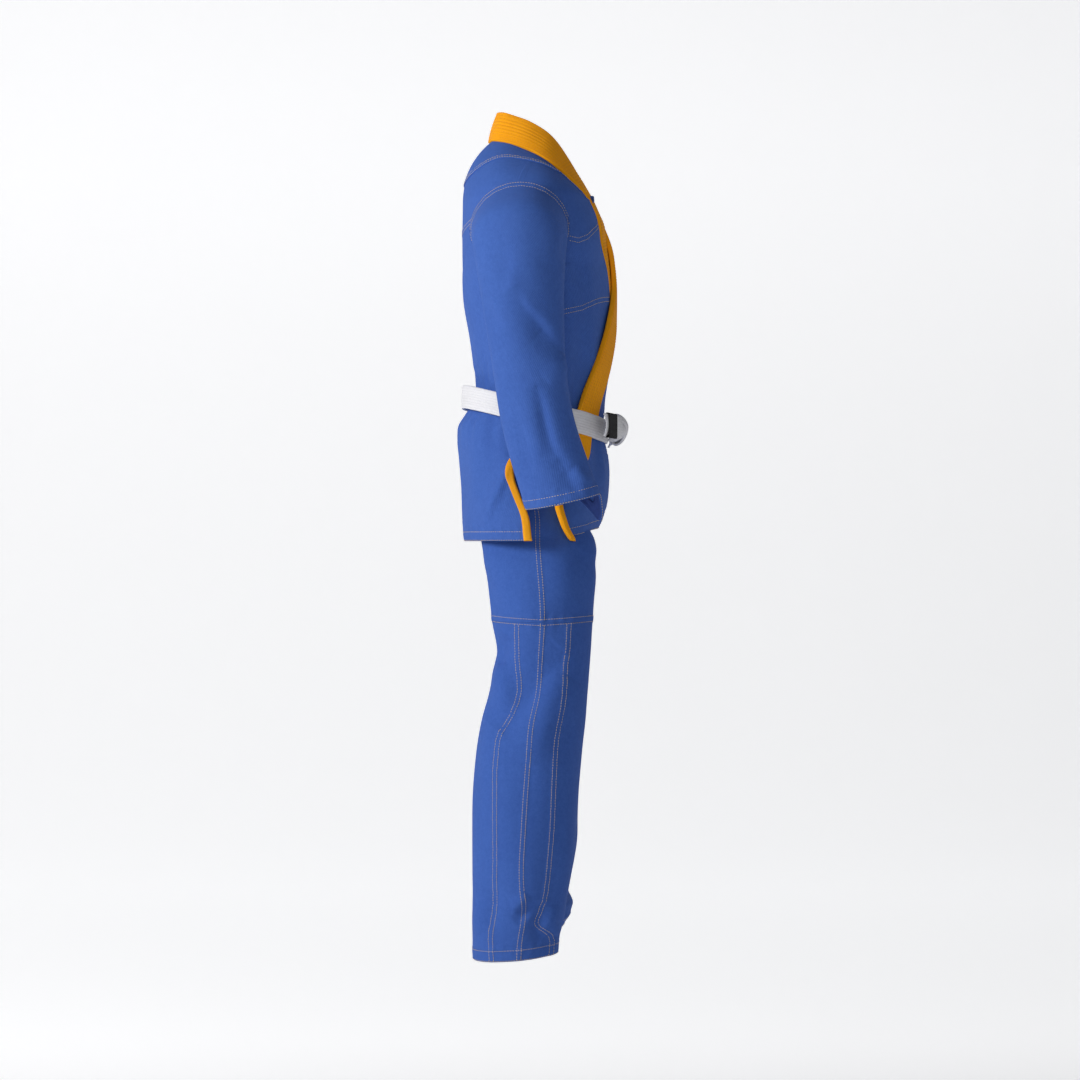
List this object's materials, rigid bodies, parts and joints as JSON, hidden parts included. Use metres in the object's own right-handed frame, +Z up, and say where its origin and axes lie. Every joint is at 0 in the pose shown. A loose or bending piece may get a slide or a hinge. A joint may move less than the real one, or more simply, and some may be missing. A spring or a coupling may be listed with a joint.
{
  "type": "martial arts uniform",
  "caption": "Blue wrap jacket with an orange collar band, tied white belt and straight trousers, shaped as worn.",
  "frame": {"origin": "the point between the wearer's shoulders, inside the jacket, that carries the jacket", "axes": "+Z up, -Y the front of the wearer, +X the wearer's left"},
  "size_m": [0.6324, 0.2983, 1.4524],
  "materials": {
    "jacket_cloth": "thick pearl weave cotton, matt",
    "trouser_cloth": "fine twill cotton, matt",
    "collar_cloth": "ribbed cotton over a stiff core",
    "collar_foam": "dense foam strip, hidden",
    "vent_tape": "flat woven tape",
    "belt_cloth": "stitched cotton webbing",
    "rank_bar_cloth": "stitched cotton sleeve"
  },
  "bodies": {
    "jacket": {"back_panel": "jacket_cloth", "left_front_panel": "jacket_cloth", "right_front_panel": "jacket_cloth", "shoulder_yoke": "jacket_cloth", "left_chest_reinforcement": "jacket_cloth", "right_chest_reinforcement": "jacket_cloth", "left_underarm_gusset": "jacket_cloth", "right_underarm_gusset": "jacket_cloth", "collar_facing": "collar_cloth", "collar_core": "collar_foam", "collar_cover": "collar_cloth", "belt_inner_wrap": "belt_cloth", "belt_outer_wrap": "belt_cloth", "belt_knot": "belt_cloth", "left_sleeve_head": "jacket_cloth", "right_sleeve_head": "jacket_cloth"},
    "right_sleeve": {"right_sleeve": "jacket_cloth", "right_cuff_facing": "jacket_cloth"},
    "left_sleeve": {"left_sleeve": "jacket_cloth", "left_cuff_facing": "jacket_cloth"},
    "back_skirt": {"back_skirt": "jacket_cloth", "back_hem_facing": "jacket_cloth", "left_back_vent_tape": "vent_tape", "right_back_vent_tape": "vent_tape"},
    "front_skirt": {"left_front_skirt": "jacket_cloth", "right_front_skirt": "jacket_cloth", "left_front_hem_facing": "jacket_cloth", "outer_collar_end": "collar_cloth", "inner_collar_end": "collar_cloth", "left_front_vent_tape": "vent_tape"},
    "right_tail": {"right_belt_tail": "belt_cloth", "rank_bar": "rank_bar_cloth"},
    "left_tail": {"left_belt_tail": "belt_cloth"},
    "trousers": {"left_upper_trouser": "trouser_cloth", "right_upper_trouser": "trouser_cloth", "waistband_outer": "trouser_cloth", "waistband_inner": "trouser_cloth", "left_knee": "trouser_cloth", "right_knee": "trouser_cloth"},
    "right_leg": {"right_lower_leg": "trouser_cloth", "right_leg_hem_facing": "trouser_cloth", "right_knee_patch": "trouser_cloth"},
    "left_leg": {"left_lower_leg": "trouser_cloth", "left_leg_hem_facing": "trouser_cloth", "left_knee_patch": "trouser_cloth"}
  },
  "joints": [
    {"name": "right_sleeve_lift", "type": "hinge", "parent": "jacket", "child": "right_sleeve", "pos_m": [-0.235, 0.03, -0.165], "axis": [0, 1, 0], "range_deg": [0, 60], "deforming": ["right_sleeve_head"]},
    {"name": "left_sleeve_lift", "type": "hinge", "parent": "jacket", "child": "left_sleeve", "pos_m": [0.235, 0.03, -0.165], "axis": [0, -1, 0], "range_deg": [0, 60], "deforming": ["left_sleeve_head"]},
    {"name": "back_skirt_lift", "type": "hinge", "parent": "jacket", "child": "back_skirt", "pos_m": [0, 0.135, -0.387], "axis": [1, 0, 0], "range_deg": [0, 30]},
    {"name": "front_skirt_lift", "type": "hinge", "parent": "jacket", "child": "front_skirt", "pos_m": [0, -0.118, -0.457], "axis": [-1, 0, 0], "range_deg": [0, 20]},
    {"name": "right_tail_swing", "type": "hinge", "parent": "jacket", "child": "right_tail", "pos_m": [-0.0492, -0.1367, -0.427], "axis": [-0.2476, -0.9242, 0.2906], "range_deg": [0, 80]},
    {"name": "left_tail_swing", "type": "hinge", "parent": "jacket", "child": "left_tail", "pos_m": [0.0497, -0.1396, -0.4287], "axis": [-0.1329, 0.9455, -0.2973], "range_deg": [0, 80]},
    {"name": "trousers_slide", "type": "slide", "parent": "jacket", "child": "trousers", "axis": [0, 0, -1], "range_m": [0, 0.42]},
    {"name": "right_knee_bend", "type": "hinge", "parent": "trousers", "child": "right_leg", "pos_m": [-0.095, -0.007, -0.83], "axis": [1, 0, 0], "range_deg": [0, 55], "deforming": ["right_knee"]},
    {"name": "left_knee_bend", "type": "hinge", "parent": "trousers", "child": "left_leg", "pos_m": [0.095, -0.007, -0.83], "axis": [1, 0, 0], "range_deg": [0, 55], "deforming": ["left_knee"]}
  ]
}
